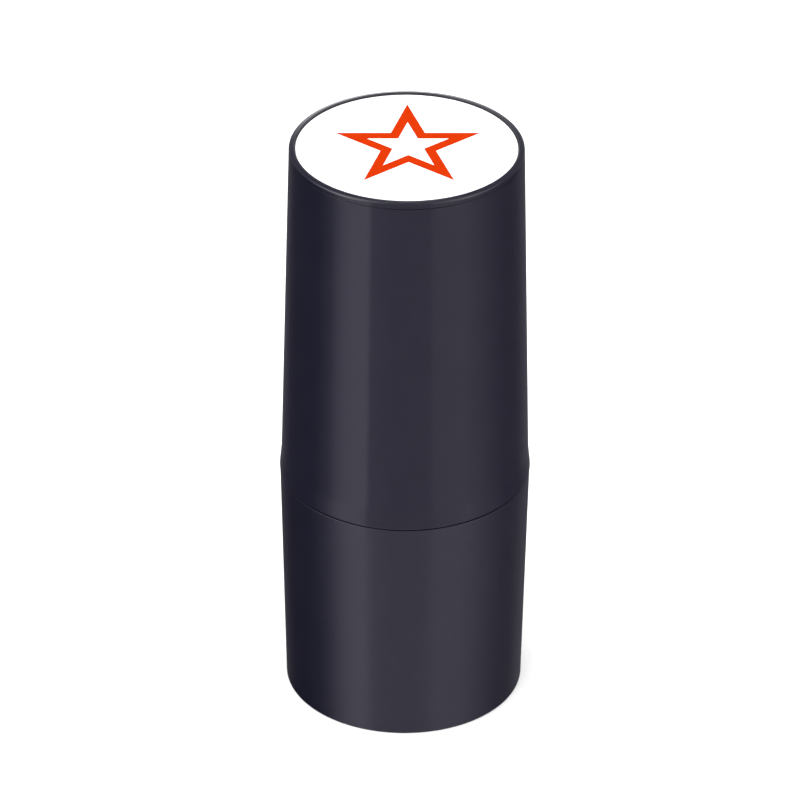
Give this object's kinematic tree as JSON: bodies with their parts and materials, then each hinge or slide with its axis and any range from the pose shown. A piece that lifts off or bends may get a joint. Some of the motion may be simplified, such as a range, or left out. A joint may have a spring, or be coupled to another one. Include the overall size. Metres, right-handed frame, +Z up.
{
  "type": "rubber stamp",
  "caption": "Capped pre-inked pocket rubber stamp: tapered round handle with an indexed label, spring-loaded guide skirt, star die and a push-on cap that it stands on.",
  "frame": {"origin": "centre of the cap's underside, on which the closed stamp stands", "axes": "+Z up, from the cap to the label; the index star's single upper point is towards +Y"},
  "size_m": [0.019, 0.019, 0.046],
  "materials": {
    "body_plastic": "satin moulded charcoal",
    "inner_plastic": "satin moulded black",
    "barrel_plastic": "smooth off-white",
    "label_white": "laminated printed sheet",
    "print_orange": "orange-red print",
    "die_rubber": "ink-soaked micro-porous rubber",
    "ink_felt": "ink-soaked felt",
    "foam_liner": "closed-cell foam sheet",
    "seal_rubber": "matte black",
    "spring_steel": "bright drawn wire and sheet"
  },
  "bodies": {
    "cap": {"cap_shell": "body_plastic", "cap_seal_liner": "foam_liner"},
    "neck_seal": {"neck_seal_ring": "seal_rubber"},
    "handle": {"handle_shell": "body_plastic", "index_label": "label_white", "index_star": "print_orange", "retaining_collar": "inner_plastic", "spring_washer": "spring_steel", "return_spring": "spring_steel", "ink_barrel": "barrel_plastic", "reservoir_plug": "seal_rubber", "ink_reservoir": "ink_felt", "diffuser_grid": "barrel_plastic", "stamp_die": "die_rubber", "die_clamp_ring": "barrel_plastic"},
    "skirt": {"guide_skirt": "inner_plastic"}
  },
  "joints": [
    {"name": "handle_pull_off", "type": "slide", "parent": "cap", "child": "neck_seal", "axis": [0, 0, 1], "range_m": [0, 0.028]},
    {"name": "handle_turn", "type": "hinge", "parent": "neck_seal", "child": "handle", "pos_m": [0, 0, 0.0162], "axis": [0, 0, 1], "continuous": true},
    {"name": "skirt_press", "type": "slide", "parent": "handle", "child": "skirt", "axis": [0, 0, 1], "range_m": [0, 0.0025], "stiffness_N_per_m": 240, "deforming": ["return_spring"]}
  ]
}
